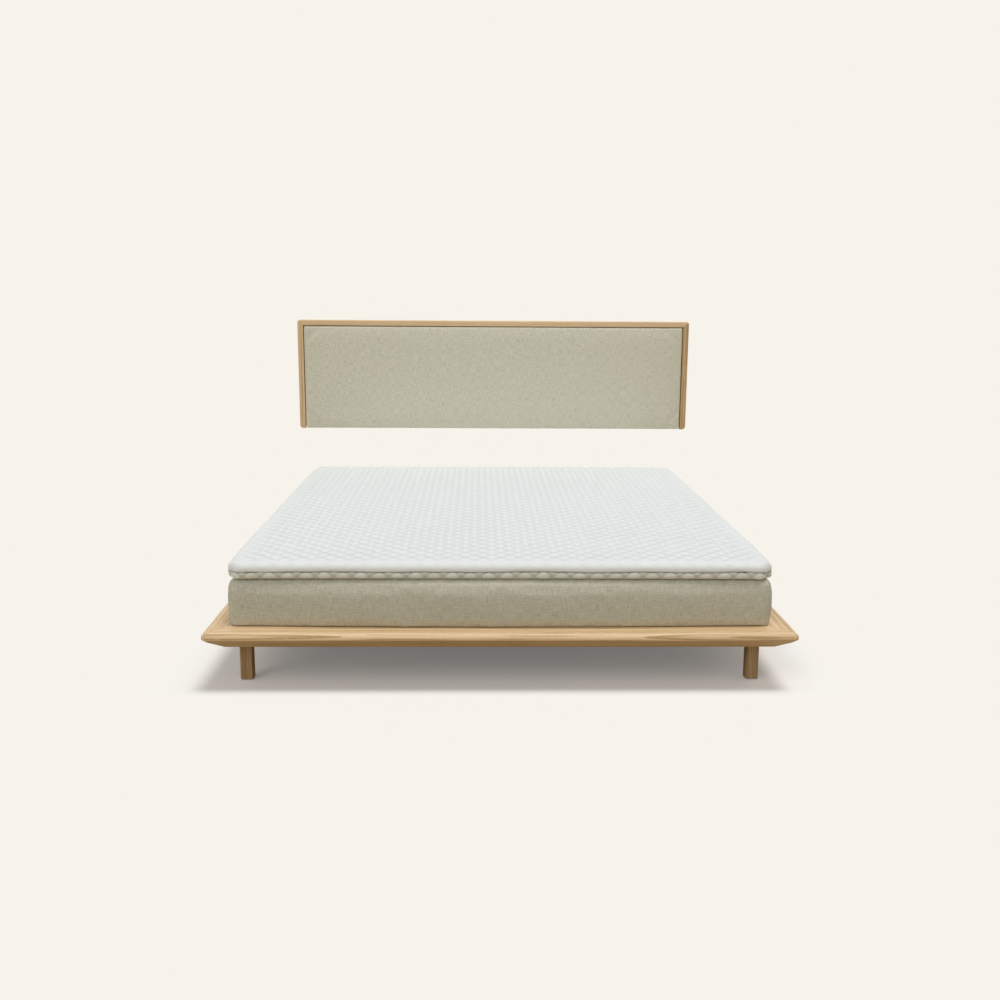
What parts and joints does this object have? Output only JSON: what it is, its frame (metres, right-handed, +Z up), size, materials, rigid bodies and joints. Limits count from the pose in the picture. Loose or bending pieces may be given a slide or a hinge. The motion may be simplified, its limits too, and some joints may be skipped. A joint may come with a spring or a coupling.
{
  "type": "bed",
  "caption": "Low solid-wood platform bed with a wide undercut border, slatted deck, upholstered mattress, zipped quilted topper and wall-hung padded headboard.",
  "frame": {"origin": "on the floor under the middle of the bed: the foot of the platform is as far in front of it as the wall face of the headboard's cleat is behind it", "axes": "+X to the sleeper's right hand as seen from the foot, +Y towards the headboard and the wall, +Z up"},
  "size_m": [1.97, 2.16, 1.165],
  "materials": {
    "oak": "satin",
    "pine": "matte",
    "plywood": "matte",
    "steel": "satin",
    "brass_insert": "satin",
    "felt": "matte",
    "webbing": "matte",
    "linen": "matte",
    "dust_cloth": "matte",
    "spring_pockets": "matte",
    "foam": "matte",
    "knit_top": "matte",
    "knit_border": "matte",
    "zip_tape": "satin"
  },
  "bodies": {
    "platform": {"rail_foot": "oak", "rail_head": "oak", "rail_left": "oak", "rail_right": "oak", "mitre_dowels": "pine", "corner_bracket_foot_left": "steel", "corner_bracket_foot_right": "steel", "corner_bracket_head_left": "steel", "corner_bracket_head_right": "steel", "bracket_bolts": "steel", "leg_foot_left": "oak", "leg_foot_right": "oak", "leg_head_left": "oak", "leg_head_right": "oak", "leg_middle_foot": "oak", "leg_middle_head": "oak", "leg_bolts": "steel", "leg_inserts": "brass_insert", "felt_glides": "felt", "slat_beam": "pine", "beam_hanger_foot": "steel", "beam_hanger_head": "steel", "hanger_screws": "steel", "wall_cleat": "pine"},
    "slat_deck": {"slat_01": "pine", "slat_02": "pine", "slat_03": "pine", "slat_04": "pine", "slat_05": "pine", "slat_06": "pine", "slat_07": "pine", "slat_08": "pine", "slat_09": "pine", "slat_10": "pine", "slat_11": "pine", "slat_12": "pine", "slat_13": "pine", "slat_14": "pine", "webbing_left": "webbing", "webbing_right": "webbing"},
    "mattress": {"mattress_cover": "linen", "mattress_dust_cloth": "dust_cloth", "mattress_base_frame": "pine", "mattress_spring_unit": "spring_pockets", "mattress_comfort_foam": "foam"},
    "topper": {"topper_top_cover": "knit_top", "topper_base_cover": "knit_border", "topper_zip": "zip_tape", "topper_core": "foam"},
    "zip_slider": {"zip_slider": "steel"},
    "headboard": {"headboard_strip_top": "oak", "headboard_strip_left": "oak", "headboard_strip_right": "oak", "headboard_back_panel": "plywood", "headboard_pad_board": "plywood", "headboard_pad_foam": "foam", "headboard_pad_cover": "linen", "headboard_cleat": "pine", "headboard_spacer": "pine", "cleat_screws": "steel"}
  },
  "joints": [
    {"name": "slat_deck_lift", "type": "slide", "parent": "platform", "child": "slat_deck", "axis": [0, 0, 1], "range_m": [0, 0.3]},
    {"name": "mattress_lift", "type": "slide", "parent": "slat_deck", "child": "mattress", "axis": [0, 0, 1], "range_m": [0, 0.5]},
    {"name": "topper_lift", "type": "slide", "parent": "mattress", "child": "topper", "axis": [0, 0, 1], "range_m": [0, 0.5]},
    {"name": "zip_slide", "type": "slide", "parent": "topper", "child": "zip_slider", "axis": [1, 0, 0], "range_m": [-1.6, 0]},
    {"name": "headboard_lift", "type": "slide", "parent": "platform", "child": "headboard", "axis": [0, 0, 1], "range_m": [0, 0.045]}
  ]
}
